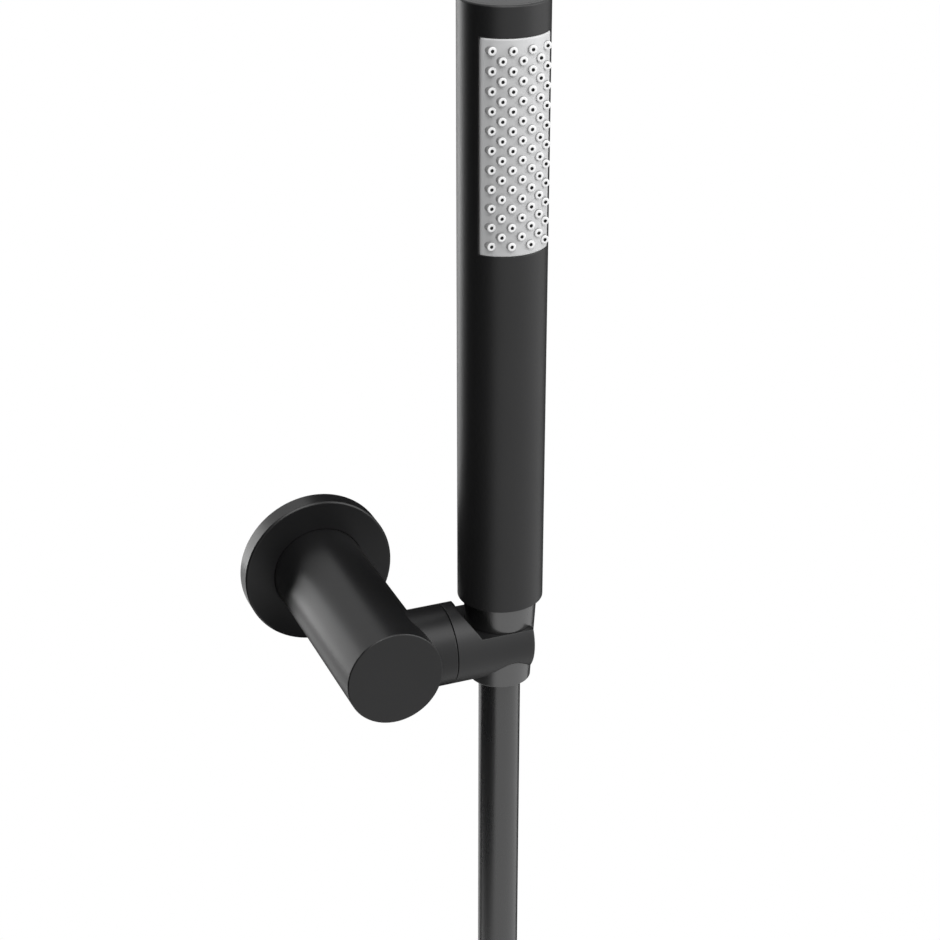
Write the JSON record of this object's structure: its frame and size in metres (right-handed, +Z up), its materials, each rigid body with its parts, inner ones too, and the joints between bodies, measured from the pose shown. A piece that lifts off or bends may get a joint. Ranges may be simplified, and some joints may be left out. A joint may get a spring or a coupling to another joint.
{
  "type": "handheld shower head",
  "caption": "Slim round shower handset with a side spray plate, in a tilting wall cradle on a round flanged arm, with its smooth hose.",
  "frame": {"origin": "middle of the wall flange's back, on the wall", "axes": "+Z up along the handset, +Y into the wall, +X along the wall to the handset's side; the spray faces -Y"},
  "size_m": [0.1971, 0.0844, 0.6468],
  "materials": {
    "black_paint": "matte black powder coat on brass",
    "grey_plate": "satin light grey moulding",
    "nozzle_silicone": "soft pale silicone",
    "moulded_plastic": "natural acetal",
    "brass": "machined",
    "steel": "plain stainless",
    "seal_rubber": "plain black rubber",
    "hose_sheath": "smooth satin black sheath",
    "tie_strap": "woven hook and loop strap"
  },
  "bodies": {
    "bracket": {"wall_plate": "steel", "wall_flange": "black_paint", "arm": "black_paint", "arm_grub_screw": "steel", "pivot_screw": "steel", "spring_washer": "steel", "friction_washer": "moulded_plastic"},
    "cradle": {"cradle": "black_paint"},
    "hose_end": {"hose_nipple": "brass", "nipple_ferrule": "steel", "swivel_ring": "moulded_plastic"},
    "handset": {"handset_tube": "black_paint", "top_cap": "black_paint", "spray_plate": "grey_plate", "nozzle_mat": "nozzle_silicone", "water_carrier": "moulded_plastic", "carrier_o_ring": "seal_rubber", "inlet_spigot": "brass", "flow_regulator": "moulded_plastic", "filter_washer": "seal_rubber", "cone_nut": "black_paint"},
    "hose": {"hose_drop": "hose_sheath", "hose_coil": "hose_sheath", "coil_tie": "tie_strap", "outlet_nipple": "brass", "outlet_ferrule": "steel", "outlet_ring": "moulded_plastic", "outlet_washer": "seal_rubber"},
    "outlet_nut": {"outlet_nut": "black_paint"}
  },
  "joints": [
    {"name": "cradle_tilt", "type": "hinge", "parent": "bracket", "child": "cradle", "pos_m": [0.02235, -0.0693, 0], "axis": [1, 0, 0], "range_deg": [-12, 60]},
    {"name": "handset_lift", "type": "slide", "parent": "cradle", "child": "hose_end", "axis": [0, 0, 1], "range_m": [0, 0.045]},
    {"name": "handset_swivel", "type": "hinge", "parent": "hose_end", "child": "handset", "pos_m": [0.04224, -0.0693, 0], "axis": [0, 0, 1], "continuous": true},
    {"name": "hose_flex", "type": "hinge", "parent": "hose_end", "child": "hose", "pos_m": [0.04224, -0.0693, -0.0411], "axis": [1, 0, 0], "range_deg": [-60, 12], "deforming": ["hose_drop"]},
    {"name": "outlet_nut_spin", "type": "hinge", "parent": "hose", "child": "outlet_nut", "pos_m": [0.12868, -0.0547, -0.42144], "axis": [0, 0, -1], "continuous": true}
  ],
  "couplings": [
    {"joint": "hose_flex", "follows": "cradle_tilt", "ratio": -1}
  ]
}
